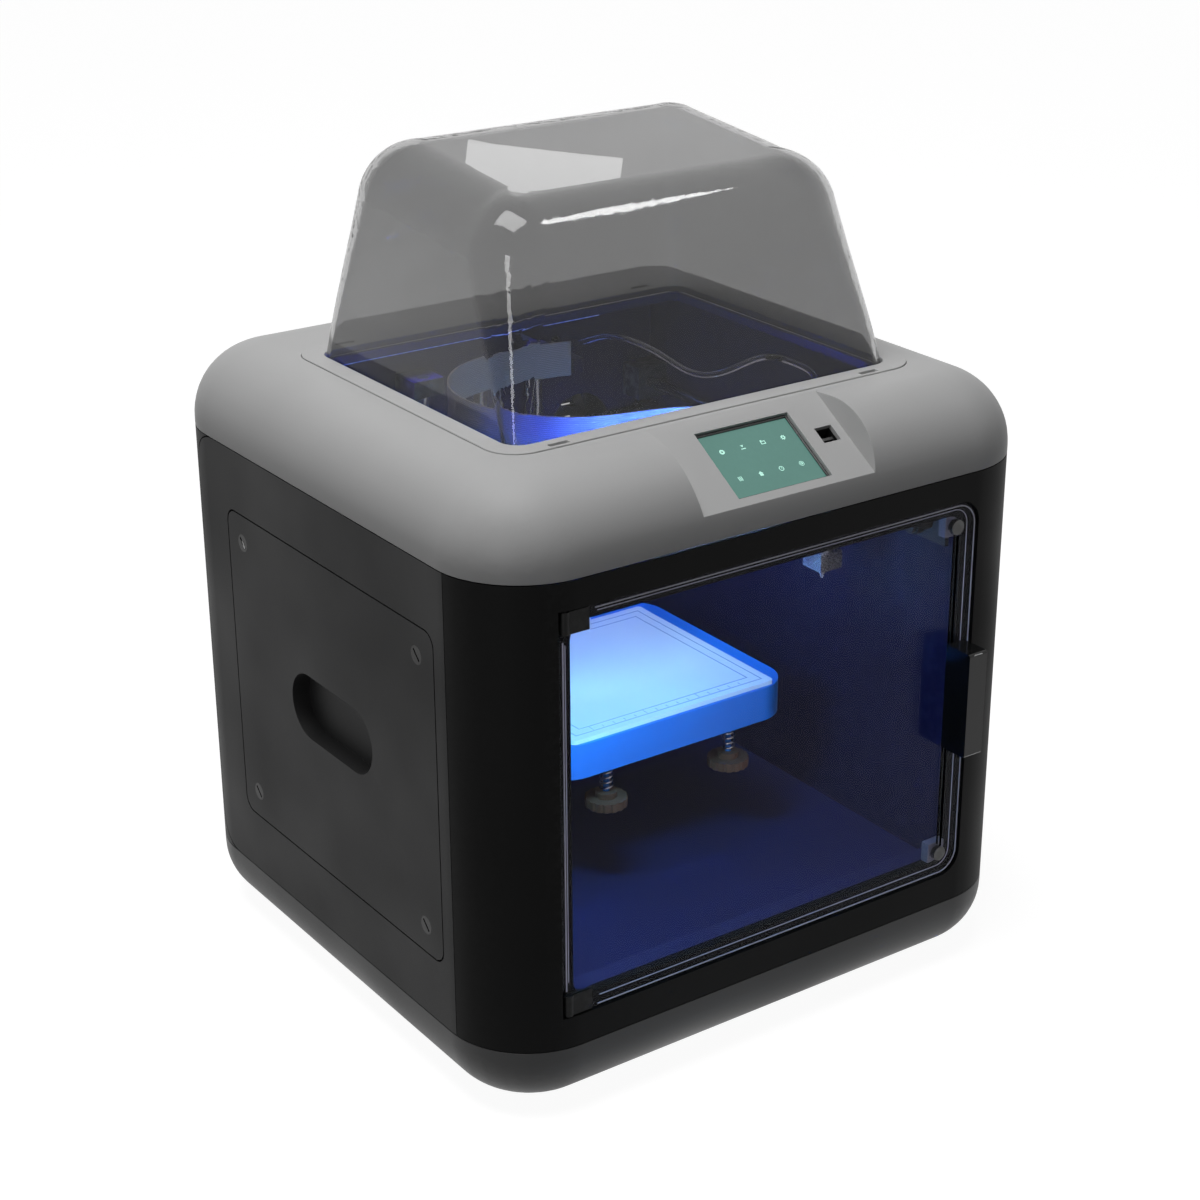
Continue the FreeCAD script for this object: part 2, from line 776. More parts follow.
def door_handle():
    """A box handle, open on its right side for the fingers."""
    block = rounded("handle_block", ("handle_left", "handle_right"), ("handle_front", "door_face"),
                    ("handle_bottom", "handle_top"), "handle_round", "x", lambda point: point.y < 10)
    hollow = box("handle_hollow", ("handle_left + handle_wall", "handle_right + 1"),
                 ("handle_front + handle_wall", "door_face - handle_wall"),
                 ("handle_bottom + handle_wall", "handle_top - handle_wall"))
    finish("door_handle", cut("handle", block, hollow))


def door_fasteners():
    """Two round magnets set in the door and the two screws of its handle."""
    magnets = [rod(f"magnet_{number}", "magnet_radius", "magnet_x", ("door_face - rest_gap", "door_back"), z)
               for number, z in enumerate(["door_bottom + magnet_inset", "door_top - magnet_inset"])]
    middle = "handle_left + handle_width / 2"
    screws = [rod(f"handle_screw_{number}", "screw_head_radius", middle,
                  ("door_back", "door_back + rest_gap"), z)
              for number, z in enumerate(["handle_bottom + handle_screw_inset",
                                           "handle_top - handle_screw_inset"])]
    finish("door_fasteners", group("fasteners", *magnets, *screws))


def door_catches():
    """Two catches in the corners of the opening that the magnets pull on."""
    catches = []
    for number, ends in enumerate([("opening_bottom", "opening_bottom + catch_size"),
                                   ("opening_top - catch_size", "opening_top")]):
        block = box(f"catch_{number}", ("opening_right - catch_size", "opening_right"),
                    ("seat_face", "frame_back"), ends)
        catches.append(common(f"catch_fit_{number}", block, door_opening(f"catch_opening_{number}")))
    finish("door_catches", group("catches", *catches))


# ------------------------------------------------------------------ dome

def dome_ring(width, depth, line, height):
    """A rectangle of wire around the middle of the dome at one height."""
    corners = [(-1, -1), (1, -1), (1, 1), (-1, 1), (-1, -1)]
    return Part.makePolygon([Vector(right * width / 2, line + back * depth / 2, height)
                             for right, back in corners])


def dome_solid(name, inset):
    """The dome's tapering solid with its sloping top, or the hollow inside it."""
    low, rise, slope = size("dome_base"), size("dome_height") - inset, size("dome_slope")
    foot = [size("dome_width"), size("dome_depth"), size("dome_centre")]
    top = [size("dome_top_width"), size("dome_top_depth"), size("dome_top_centre")]
    spare = 1.25
    wide, deep, line = [start + (end - start) * spare for start, end in zip(foot, top)]
    shape = Part.makeLoft([dome_ring(foot[0] - 2 * inset, foot[1] - 2 * inset, foot[2], low),
                           dome_ring(wide - 2 * inset, deep - 2 * inset, line, low + rise * spare)],
                          True, True)
    reach = 4 * size("body_width")
    middle = Vector(0, top[2], low + rise)
    above = Part.makeBox(reach, reach, reach, Vector(-reach / 2, -reach / 2, 0))
    above.rotate(Vector(), Vector(1, 0, 0), slope)
    above.translate(middle)
    shape = shape.cut(above)
    uprights = [edge for edge in shape.Edges
                if abs(edge.Vertexes[0].Z - edge.Vertexes[1].Z) > rise / 2]
    upright_round = size("dome_upright_round") - inset
    shape = shape.makeFillet(size("dome_foot_round") - inset, upright_round, uprights)
    outward = FreeCAD.Rotation(Vector(1, 0, 0), slope).multVec(Vector(0, 0, 1))
    rim = [edge for edge in shape.Edges
           if all(abs((corner.Point - middle).dot(outward)) < 0.01 for corner in edge.Vertexes)]
    top_round = min(size("dome_top_round") - inset, upright_round - size("dome_wall") / 2)
    return own(name, shape.makeFillet(top_round, rim))


def dome():
    """The clear dome, whose foot drops into the trim."""
    finish("dome", cut("dome_hood", dome_solid("dome_outer", 0), dome_solid("dome_inner", size("dome_wall"))))


# ---------------------------------------------------------- cover plates

def mirrored(side, low, high):
    """A pair of formulas along X, swapped and negated on the left side."""
    return (f"-({high})", f"-({low})") if side == "left" else (low, high)


def grip_block(name, side, span, grow):
    """A stadium-shaped block through a cover plate, for its grip."""
    return rounded(name, mirrored(side, *span),
                   (f"plate_centre - grip_length / 2 - {grow}", f"plate_centre + grip_length / 2 + {grow}"),
                   (f"grip_centre - grip_height / 2 - {grow}", f"grip_centre + grip_height / 2 + {grow}"),
                   f"grip_height / 2 + {grow} - 0.01", "x")


def lock_places():
    """The four places of a cover plate's locks, as formulas of Y and Z."""
    return [("plate_front + lock_inset", "plate_bottom + lock_inset"),
            ("plate_back - lock_inset", "plate_bottom + lock_inset"),
            ("plate_front + lock_inset", "plate_top - lock_inset"),
            ("plate_back - lock_inset", "plate_top - lock_inset")]


def cover_plate(side):
    """A lift-out plate with a moulded grip cup and seats for its locks."""
    name = side + "_plate"
    across = ("half_width - wall + rest_gap", "half_width")
    plate = side_block(name, side, across, "-plate_groove")
    cup = grip_block(name + "_cup", side, ("half_width - wall - grip_depth", "half_width - 1"), "grip_wall")
    hollow = grip_block(name + "_grip", side,
                        ("half_width - wall - grip_depth + grip_wall", "half_width + 1"), "0")
    seats = [rod(f"{name}_seat_{number}", "lock_radius + bearing_gap",
                 mirrored(side, "half_width - 2 * wall", "half_width + 1"), y, z)
             for number, (y, z) in enumerate(lock_places())]
    finish(side + "_cover_plate", cut(name + "_done", fuse(name + "_whole", plate, cup), hollow, *seats))


def cover_locks(side):
    """Four round locks with a slanted coin slot each, flush with their plate."""
    locks = []
    for number, (y, z) in enumerate(lock_places()):
        button = rod(f"{side}_lock_{number}", "lock_radius",
                     mirrored(side, "half_width - wall + rest_gap", "half_width"), y, z)
        slot = doc.addObject("Part::Box", f"{side}_lock_slot_{number}")
        bind(slot, "Length", "2 * lock_depth")
        bind(slot, "Width", "lock_slot_length")
        bind(slot, "Height", "lock_slot_width")
        slot.Placement.Rotation = FreeCAD.Rotation(Vector(1, 0, 0), 45)
        half = "(lock_slot_length - lock_slot_width) / 2 * sin(45)"
        lift = "(lock_slot_length + lock_slot_width) / 2 * sin(45)"
        edge = "-half_width - lock_depth" if side == "left" else "half_width - lock_depth"
        put(slot, edge, f"{y} - {half}", f"{z} - {lift}")
        locks.append(cut(f"{side}_lock_cut_{number}", button, slot))
    finish(side + "_cover_locks", group(side + "_locks", *locks))


# --------------------------------------------------------------- chamber

def chamber_floor():
    """The chamber's floor with its front sill and the holes over the lift motor."""
    plate = box("floor_plate", ("left_liner", "right_liner"), ("frame_back", "back_liner"),
                ("floor_under", "chamber_floor_top"))
    sill = box("floor_sill", ("opening_left", "opening_right"), ("frame_back", "frame_back + sill_depth"),
               ("chamber_floor_top", "chamber_floor_top + sill_height"))
    hole = rod("floor_hole", "shaft_radius + wall", "lift_centre", "lift_line",
               ("0", "2 * chamber_floor_top"))
    finish("chamber_floor", cut("floor", fuse("floor_whole", plate, sill), hole))


def chamber_walls():
    """The chamber's left, right and back walls."""
    depth = ("frame_back", "back_liner")
    height = ("chamber_floor_top", "chamber_top")
    left = common("left_liner_fit", box("left_liner_plate", ("left_liner", "chamber_left"), depth, height),
                  envelope("left_liner_room", "wall + rest_gap"))
    shaft = rod("left_liner_hole", "2 * shaft_radius", ("left_liner - 1", "chamber_left + 1"), "drive_line",
                "belt_height")
    finish("chamber_left_wall", cut("left_liner_cut", left, shaft))
    right = box("right_liner_plate", ("chamber_right", "right_liner"), depth, height)
    finish("chamber_right_wall",
           common("right_liner_fit", right, envelope("right_liner_room", "wall + rest_gap")))
    back = box("back_liner_plate", ("chamber_left", "chamber_right"), ("chamber_back", "back_liner"), height)
    vent = rod("back_liner_vent", "fan_reach", "fan_centre", ("chamber_back - 1", "back_liner + 1"),
               "fan_height")
    tube = rod("back_liner_tube", "2 * tube_radius", TUBE_ROUTE[-1][0],
               ("chamber_back - 1", "back_liner + 1"), TUBE_ROUTE[-1][2])
    end_x, end_y = RIBBON_ROUTE[-1]
    arm = box("cable_arm", (f"{end_x} + rest_gap", f"{end_x} + rest_gap + arm_thick"),
              (f"{end_y} - arm_lap", "chamber_back"),
              ("ribbon_bottom + arm_lap / 2", "ribbon_bottom + ribbon_height / 2"))
    finish("chamber_back_wall", fuse("back_liner_whole", cut("back_liner_cut", back, vent, tube), arm))


def led_strips():
    """Two lamp strips: one on the back wall and one behind the front frame."""
    span = ("lift_centre - lamp_length / 2", "lift_centre + lamp_length / 2")
    back = box("lamp_back", span, ("chamber_back - lamp_thick", "chamber_back"),
               ("chamber_top - 2 * lamp_height", "chamber_top - lamp_height"))
    front = box("lamp_front", span, ("frame_back", "frame_back + lamp_thick"),
                ("opening_top + lamp_height", "opening_top + 2 * lamp_height"))
    finish("led_strips", group("lamps", back, front))


# ----------------------------------------------------------- platform lift

def lift_sides():
    """The X of the two lift rods."""
    return ["lift_centre - lift_rod_spread", "lift_centre + lift_rod_spread"]


def z_rods():
    """Two upright rods that guide the platform."""
    rods = [rod(f"lift_rod_{number}", "rod_radius", x, "lift_line", ("chamber_floor_top", "lift_rod_top"))
            for number, x in enumerate(lift_sides())]
    finish("z_rods", group("lift_rods", *rods))


def z_rod_clamps():
    """Four clamps that hold the lift rods to the back wall."""
    clamps = []
    for column, x in enumerate(lift_sides()):
        for row, low in enumerate(["chamber_floor_top", "lift_rod_top - clamp_height - rest_gap"]):
            block = box(f"lift_clamp_{column}_{row}", (f"{x} - clamp_width / 2", f"{x} + clamp_width / 2"),
                        ("lift_line - 2 * rod_radius", "chamber_back"), (low, f"{low} + clamp_height"))
            bore = rod(f"lift_clamp_bore_{column}_{row}", "rod_radius + bearing_gap", x, "lift_line",
                       ("0", "2 * deck_height"))
            clamps.append(cut(f"lift_clamp_cut_{column}_{row}", block, bore))
    finish("z_rod_clamps", group("lift_clamps", *clamps))


def z_motor():
    """The lift motor under the chamber floor."""
    block = rounded("lift_motor", ("lift_centre - motor_size / 2", "lift_centre + motor_size / 2"),
                    ("lift_line - motor_size / 2", "lift_line + motor_size / 2"),
                    ("floor_under - motor_length", "floor_under"), "motor_round")
    bore = rod("lift_motor_bore", "shaft_radius + bearing_gap", "lift_centre", "lift_line",
               ("floor_under - shaft_reach - 1", "2 * floor_under"))
    finish("z_motor", cut("lift_motor_cut", block, bore))


def lead_screw():
    """The lift's screw with its coupler and the motor shaft below it."""
    stem = rod("screw_stem", "screw_radius", "lift_centre", "lift_line", ("coupler_bottom", "screw_top"))
    coupler = rod("screw_coupler", "coupler_radius", "lift_centre", "lift_line",
                  ("coupler_bottom", "coupler_bottom + coupler_length"))
    shaft = rod("screw_shaft", "shaft_radius", "lift_centre", "lift_line",
                ("floor_under - shaft_reach", "coupler_bottom + 1"))
    finish("lead_screw", fuse("screw", stem, coupler, shaft))


def platform_arm():
    """The carrier on the lift rods, its nut and the two beams under the tray."""
    block = rounded("carrier", ("lift_centre - carrier_width / 2", "lift_centre + carrier_width / 2"),
                    ("carrier_front", "carrier_front + carrier_depth"), ("carrier_bottom", "carrier_top"),
                    "carrier_round")
    beams = [box(f"beam_{number}", (f"{x} - beam_width / 2", f"{x} + beam_width / 2"),
                 ("beam_front", "carrier_front + 1"), ("tray_bottom - beam_height", "tray_bottom"))
             for number, x in enumerate(lift_sides())]
    sleeves = [rod(f"carrier_bore_{number}", "sleeve_radius", x, "lift_line", ("0", "deck_height"))
               for number, x in enumerate(lift_sides())]
    nut = rod("nut_bore", "screw_radius + 2 * bearing_gap", "lift_centre", "lift_line", ("0", "deck_height"))
    finish("platform_arm", cut("arm", fuse("arm_whole", block, *beams), *sleeves, nut))


def z_bearings():
    """Two sleeves in the carrier that run on the lift rods."""
    sleeves = []
    for number, x in enumerate(lift_sides()):
        sleeve = rod(f"sleeve_{number}", "sleeve_radius", x, "lift_line", ("carrier_bottom", "carrier_top"))
        bore = rod(f"sleeve_bore_{number}", "rod_radius + bearing_gap", x, "lift_line", ("0", "deck_height"))
        sleeves.append(cut(f"sleeve_cut_{number}", sleeve, bore))
    finish("z_bearings", group("sleeves", *sleeves))


def knob_places():
    """The name, X and Y of the three levelling knobs."""
    return [("front_left", "lift_centre - knob_spread", "knob_front"),
            ("front_right", "lift_centre + knob_spread", "knob_front"),
            ("rear", "lift_centre", "knob_rear")]


def platform_tray():
    """The tray under the build plate, open below, with three studs."""
    tray = rounded("tray_block", ("lift_centre - tray_width / 2", "lift_centre + tray_width / 2"),
                   ("tray_front", "tray_back"), ("tray_bottom", "tray_top"), "tray_round")
    hollow = rounded("tray_hollow",
                     ("lift_centre - tray_width / 2 + tray_wall", "lift_centre + tray_width / 2 - tray_wall"),
                     ("tray_front + tray_wall", "tray_back - tray_wall"), ("0", "tray_top - tray_wall"),
                     "tray_round - tray_wall")
    ribs = [box(f"tray_rib_{number}", (f"{x} - beam_width / 2", f"{x} + beam_width / 2"),
                ("beam_front", "tray_back - tray_wall"), ("tray_bottom", "tray_top - 1"))
            for number, x in enumerate(lift_sides())]
    studs = [rod(f"stud_{name}", "stud_radius", x, y, ("knob_bottom", "tray_top - 1"))
             for name, x, y in knob_places()]
    finish("platform_tray", fuse("tray", cut("tray_pan", tray, hollow), *ribs, *studs))


def leveling_springs():
    """Three coil springs around the studs, between the tray and the knobs."""
    springs = []
    low, high = size("knob_top + rest_gap"), size("tray_bottom - rest_gap")
    radius, wire = size("spring_radius"), size("spring_wire")
    turns = 5
    for name, x, y in knob_places():
        path = Part.makeHelix((high - low - 2 * wire) / turns, high - low - 2 * wire, radius)
        ring = Part.Wire(Part.Circle(Vector(radius, 0, 0), Vector(0, 1, 0), wire).toShape())
        coil = Part.Wire(path).makePipeShell([ring], True, True)
        coil.translate(Vector(size(x), size(y), low + wire))
        springs.append(own(f"spring_{name}", coil))
    finish("leveling_springs", group("springs", *springs))


def knobs():
    """Three knurled knobs that turn on the studs."""
    for name, x, y in knob_places():
        disc = rod(f"{name}_disc", "knob_radius", x, y, ("knob_bottom", "knob_bottom + knob_thick"))
        hub = rod(f"{name}_hub", "knob_hub_radius", x, y, ("knob_bottom", "knob_top"))
        bore = rod(f"{name}_bore", "stud_radius + bearing_gap", x, y, ("0", "deck_height"))
        dents = []
        count = int(size("dent_count"))
        for step in range(count):
            turn = math.radians(360 / count * step)
            dents.append(rod(f"{name}_dent_{step}", "dent_radius",
                             f"{x} + (knob_radius + dent_offset) * {math.cos(turn):.4f}",
                             f"{y} + (knob_radius + dent_offset) * {math.sin(turn):.4f}",
                             ("0", "deck_height")))
        cutter = doc.addObject("Part::Compound", f"{name}_dents")
        cutter.Links = dents
        finish(f"{name}_knob", cut(f"{name}_knob_cut", fuse(f"{name}_knob_whole", disc, hub), bore, cutter))


def build_plate():
    """The flat plate that is printed on."""
    plate = rounded("bed", ("lift_centre - bed_width / 2", "lift_centre + bed_width / 2"),
                    ("bed_front", "bed_front + bed_depth"), ("bed_bottom", "bed_top"), "bed_round")
    finish("build_plate", plate)


# ------------------------------------------------- rails, belts and gantry

def rail_sides():
    """The X of the two side rails, and of the chamber wall beside each."""
    return [("left", "left_rail", "chamber_left"), ("right", "right_rail", "chamber_right")]


def y_rods():
    """Two rails along the chamber's sides."""
    rails = [rod(f"rail_{side}", "rod_radius", x, ("side_rail_front", "rail_back"), "side_rail_height")
             for side, x, _ in rail_sides()]
    finish("y_rods", group("rails", *rails))


def y_rod_holders():
    """Holders of the side rails, with the belt's guide pins at the front."""
    holders = []
    for side, x, wall in rail_sides():
        across = (wall, f"{x} + holder_width / 2") if side == "left" else (f"{x} - holder_width / 2", wall)
        bore = rod(f"{side}_rail_bore", "rod_radius + bearing_gap", x, ("-body_depth", "body_depth"),
                   "side_rail_height")
        level = ("side_rail_height - holder_height / 2", "side_rail_height + holder_height / 2")
        rear = box(f"{side}_rear_holder", across, ("chamber_back - holder_depth", "chamber_back"), level)
        front = box(f"{side}_front_holder", across,
                    ("side_rail_front", "side_rail_front + holder_depth"), level)
        cheek_x = (wall, f"{wall} + liner") if side == "left" else (f"{wall} - liner", wall)
        cheek = box(f"{side}_cheek", cheek_x, ("side_rail_front", "side_rail_front + 1.5 * holder_depth"),
                    ("belt_height - 3 * guide_pin_radius", "side_rail_height"))
        reach = f"{x} + belt_width" if side == "left" else f"{x} - belt_width"
        span = (wall, reach) if side == "left" else (reach, wall)
        pin = rod(f"{side}_guide_pin", "guide_pin_radius", span, "guide_line", "belt_height")
        holders.append(cut(f"{side}_rear_holder_cut", rear, bore))
        holders.append(cut(f"{side}_front_holder_cut", fuse(f"{side}_front_whole", front, cheek, pin), bore))
    finish("y_rod_holders", group("holders", *holders))


def belt_loop(name, radius, start, end, level, across, axis):
    """A flat belt around two round ends, as its outer stadium minus its inner one."""
    loops = []
    for edge, reach in (("outer", f"{radius} + belt_thick"), ("inner", radius)):
        height = (f"{level} - ({reach})", f"{level} + {reach}")
        places = [(across, line) if axis == "x" else (line, across) for line in (start, end)]
        ends = [rod(f"{name}_{edge}_{number}", reach, x, y, level)
                for number, (x, y) in enumerate(places)]
        x, y = (across, (start, end)) if axis == "x" else ((start, end), across)
        loops.append(fuse(f"{name}_{edge}", box(f"{name}_{edge}_middle", x, y, height), *ends))
    return cut(name, *loops)


def y_belts():
    """Two belts along the side rails, clear of the blocks by a hair."""
    belts = [belt_loop(f"belt_{side}", "guide_pin_radius + bearing_gap", "guide_line", "drive_line",
                       "belt_height", (f"{x} - belt_width / 2", f"{x} + belt_width / 2"), "x")
             for side, x, _ in rail_sides()]
    finish("y_belts", group("belts", *belts))


def y_drive_shaft():
    """The cross shaft that drives both side belts, with a pulley for each."""
    stem = rod("drive_stem", "shaft_radius", ("left_liner - 2 * shaft_reach", "chamber_right - rest_gap"),
               "drive_line", "belt_height")
    pulleys = [rod(f"drive_pulley_{side}", "guide_pin_radius",
                   (f"{x} - belt_width", f"{x} + belt_width"), "drive_line", "belt_height")
               for side, x, _ in rail_sides()]
    finish("y_drive_shaft", fuse("drive", stem, *pulleys))


def y_motor():
    """The motor behind the left wall that turns the cross shaft."""
    block = rounded("drive_motor", ("left_liner - motor_length", "left_liner"),
                    ("drive_line - motor_size / 2", "drive_line + motor_size / 2"),
                    ("belt_height - motor_size / 2", "belt_height + motor_size / 2"), "motor_round", "x")
    bore = rod("drive_motor_bore", "shaft_radius + bearing_gap", ("left_liner - 2 * shaft_reach - 1", "0"),
               "drive_line", "belt_height")
    finish("y_motor", cut("drive_motor_cut", block, bore))


def cross_lines():
    """The Y of the two cross rails."""
    return ["gantry_line - cross_rail_spread", "gantry_line + cross_rail_spread"]


def y_blocks():
    """The two blocks that run on the side rails and carry the cross rails."""
    blocks = []
    for side, x, _ in rail_sides():
        block = rounded(f"{side}_block", (f"{x} - block_width / 2", f"{x} + block_width / 2"),
                        ("block_front", "block_back"), ("block_bottom", "block_top"), "block_round")
        if side == "right":
            post = box("idler_post", (f"{x} - block_width / 2", f"{x} + block_width / 2"),
                       ("block_front", "block_front + idler_post_depth"), ("block_top - 1", "extruder_top"))
            pin = rod("idler_pin", "guide_pin_radius", x, ("cross_belt_front", "block_front + 1"),
                      "cross_belt_height")
            block = fuse("right_block_whole", block, post, pin)
        bore = rod(f"{side}_block_bore", "rod_radius + bearing_gap", x, ("-body_depth", "body_depth"),
                   "side_rail_height")
        seats = [rod(f"{side}_block_seat_{number}", "rod_radius", ("left_rail", "right_rail"), y,
                     "cross_rail_height") for number, y in enumerate(cross_lines())]
        blocks.append(cut(f"{side}_block_cut", block, bore, *seats))
    finish("y_blocks", group("blocks", *blocks))


def x_rods():
    """The two cross rails between the blocks."""
    rails = [rod(f"cross_rail_{number}", "rod_radius", ("left_rail", "right_rail"), y, "cross_rail_height")
             for number, y in enumerate(cross_lines())]
    finish("x_rods", group("cross_rails", *rails))


def x_motor():
    """The small motor on the left block that drives the head's belt."""
    half = "cross_motor_size / 2"
    block = rounded("cross_motor", (f"cross_pulley - {half}", f"cross_pulley + {half}"),
                    ("block_front", "block_front + cross_motor_size"),
                    ("block_top", "block_top + cross_motor_size"), "block_round", "y")
    bore = rod("cross_motor_bore", "shaft_radius + bearing_gap", "cross_pulley",
               ("-body_depth", "block_front + shaft_reach + 1"), "cross_belt_height")
    finish("x_motor", cut("cross_motor_cut", block, bore))


def x_pulley():
    """The pulley on the small motor's shaft."""
    pulley = rod("cross_pulley_disc", "guide_pin_radius", "cross_pulley",
                 ("cross_belt_front - 1", "cross_belt_back"), "cross_belt_height")
    shaft = rod("cross_pulley_shaft", "shaft_radius", "cross_pulley",
                ("cross_belt_front", "block_front + shaft_reach"), "cross_belt_height")
    finish("x_pulley", fuse("cross_pulley_whole", pulley, shaft))


def x_belt():
    """The belt in front of the print head."""
    finish("x_belt", belt_loop("cross_belt", "guide_pin_radius + bearing_gap", "cross_pulley", "right_rail",
                               "cross_belt_height", ("cross_belt_front", "cross_belt_back"), "y"))


# ------------------------------------------------------------- print head

def carriage_block():
    """The block of the print head that runs on the cross rails."""
    block = rounded("head_block", ("head_left", "head_right"), ("head_front", "head_front + head_depth"),
                    ("head_bottom", "block_top"), "head_round")
    bores = [rod(f"head_bore_{number}", "rod_radius + bearing_gap", ("-body_width", "body_width"), y,
                 "cross_rail_height") for number, y in enumerate(cross_lines())]
    finish("carriage_block", cut("head", block, *bores))


def extruder():
    """The feeder with its motor, its fan grille and the socket of the ribbon."""
    block = rounded("feeder", ("head_left + feeder_inset", "head_right - feeder_inset"),
                    ("head_front", "head_front + head_depth - feeder_inset"), ("block_top", "extruder_top"),
                    "head_round")
    fitting = rod("feeder_fitting", "2 * tube_radius", TUBE_ROUTE[0][0], TUBE_ROUTE[0][1],
                  ("extruder_top - 1", "extruder_top + fitting_height"))
    slots = [box(f"feeder_slot_{number}",
                 (f"head_left + grille_start + {number} * grille_pitch",
                  f"head_left + grille_start + {number} * grille_pitch + grille_slot"),
                 ("head_front - 1", "head_front + grille_depth"),
                 ("block_top + grille_line", "block_top + grille_line + grille_height"))
             for number in range(4)]
    finish("extruder", fuse("feeder_whole", cut("feeder_cut", block, *slots), fitting))


def hotend():
    """The finned heat sink, the heater block and the nozzle."""
    sink = rod("sink_core", "sink_radius - fin_depth", "head_centre", "gantry_line",
               ("nozzle_height + nozzle_length + heater_height / 2", "head_bottom"))
    count = int(size("(head_bottom - sink_bottom) / fin_pitch") + 0.5)
    fins = [rod(f"sink_fin_{number}", "sink_radius", "head_centre", "gantry_line",
                (f"sink_bottom + {number} * fin_pitch", f"sink_bottom + ({number} + 0.5) * fin_pitch"))
            for number in range(count)]
    heater = box("heater", ("head_centre - heater_size / 2", "head_centre + heater_size / 2"),
                 ("gantry_line - heater_size / 2", "gantry_line + heater_size / 2"),
                 ("nozzle_height + nozzle_length", "nozzle_height + nozzle_length + heater_height"))
    nozzle = doc.addObject("Part::Cone", "nozzle")
    bind(nozzle, "Radius1", "nozzle_radius / 4")
    bind(nozzle, "Radius2", "nozzle_radius")
    bind(nozzle, "Height", "nozzle_length")
    put(nozzle, "head_centre", "gantry_line", "nozzle_height")
    finish("hotend", fuse("hot", sink, *fins, heater, nozzle))


# ---------------------------------------------------------------- spool

def spool_pin():
    """The pin on the chamber's right wall that the spool turns on."""
    finish("spool_pin", rod("spool_axle", "spool_pin_radius", ("right_liner", "spool_left + spool_width + 2"),
                            "spool_centre", "spool_height"))


def filament_spool():
    """The spool with the thread that is wound on it."""
    sides = [rod(f"spool_side_{number}", "spool_radius", (low, f"{low} + spool_flange"), "spool_centre",
                 "spool_height")
             for number, low in enumerate(["spool_left", "spool_left + spool_width - spool_flange"])]
    wound = rod("wound", "wound_radius", ("spool_left", "spool_left + spool_width"), "spool_centre",
                "spool_height")
    bore = rod("spool_bore", "spool_pin_radius + bearing_gap", ("0", "body_width"), "spool_centre",
               "spool_height")
    finish("filament_spool", cut("spool", fuse("spool_whole", wound, *sides), bore))


# ------------------------------------------------- power, board and fan

def power_supply():
    """The power supply on the chamber's left wall."""
    finish("power_supply", box("supply", ("supply_right - supply_thick", "supply_right"),
                               ("supply_front", "supply_front + supply_depth"),
                               ("supply_bottom", "supply_bottom + supply_height")))


def board_block(name, x, start, height, rise):
    """A component on the board, `start` above its lower edge and `rise` off its face."""
    return box(name, x, ("board_face + board_thick / 2", f"board_face + board_thick + {rise}"),
               (f"board_bottom + {start}", f"board_bottom + {start} + {height}"))


def main_board():
    """The control board on posts behind the chamber's back wall."""
    plate = box("board_plate", ("-board_width / 2", "board_width / 2"),
                ("board_face", "board_face + board_thick"), ("board_bottom", "board_bottom + board_height"))
    posts = [rod(f"board_post_{number}", "board_post_radius", f"{right} * (board_width / 2 - board_margin)",
                 ("back_liner", "board_face"),
                 f"board_bottom + board_height / 2 + {up} * (board_height / 2 - board_margin)")
             for number, (right, up) in enumerate([(-1, -1), (1, -1), (-1, 1), (1, 1)])]
    drivers = [board_block(f"board_driver_{number}", (f"{number} * driver_pitch - driver_size / 2",
                                                      f"{number} * driver_pitch + driver_size / 2"),
                           "driver_line", "driver_size", "driver_rise") for number in range(-2, 2)]
    chip = board_block("board_chip", ("-chip_size / 2", "chip_size / 2"), "chip_line", "chip_size",
                       "chip_rise")
    plugs = board_block("board_plugs", ("-plug_row_length / 2", "plug_row_length / 2"), "plug_row_line",
                        "plug_row_height", "plug_row_rise")
    finish("main_board", fuse("board", plate, *posts, *drivers, chip, plugs))


def power_inlet():
    """The inlet for a mains plug, with the window of the power switch beside it."""
    low, high = "inlet_height - inlet_tall / 2", "inlet_height + inlet_tall / 2"
    left, right = "inlet_centre - inlet_width / 2", "inlet_centre + inlet_width / 2"
    block = box("inlet_block", (left, right), ("half_depth - inlet_depth", "half_depth + 1"), (low, high))
    flange = box("inlet_rim", (f"{left} - inlet_lip", f"{right} + inlet_lip"),
                 ("half_depth", "half_depth + inlet_flange"), (f"{low} - inlet_lip", f"{high} + inlet_lip"))
    pocket = rounded("inlet_pocket", ("plug_x - plug_width / 2", "plug_x + plug_width / 2"),
                     ("half_depth - plug_depth", "half_depth + inlet_flange + 1"),
                     ("inlet_height - plug_tall / 2", "inlet_height + plug_tall / 2"), "wall", "y")
    pins = [box(f"inlet_pin_{number}",
                (f"plug_x + {side} * inlet_pin_spread - inlet_pin_width / 2",
                 f"plug_x + {side} * inlet_pin_spread + inlet_pin_width / 2"),
                ("half_depth - plug_depth - 1", "half_depth - wall"),
                (f"inlet_height + {rise} * inlet_pin_rise - inlet_pin_tall / 2",
                 f"inlet_height + {rise} * inlet_pin_rise + inlet_pin_tall / 2"))
            for number, (side, rise) in enumerate([(-1, -1), (0, 1), (1, -1)])]
    window = box("switch_window",
                 ("switch_x - switch_width / 2 - rest_gap", "switch_x + switch_width / 2 + rest_gap"),
                 ("half_depth - inlet_depth + wall", "half_depth + inlet_flange + 1"),
                 ("inlet_height - switch_tall / 2 - rest_gap", "inlet_height + switch_tall / 2 + rest_gap"))
    reach = "switch_width / 2 + switch_pin_reach + rest_gap"
    seats = rod("switch_seat", "switch_pin_radius + bearing_gap",
                (f"switch_x - ({reach})", f"switch_x + {reach}"), "switch_y", "inlet_height")
    opened = cut("inlet_cut", fuse("inlet_whole", block, flange), pocket, window, seats)
    finish("power_inlet", fuse("inlet", opened, *pins))


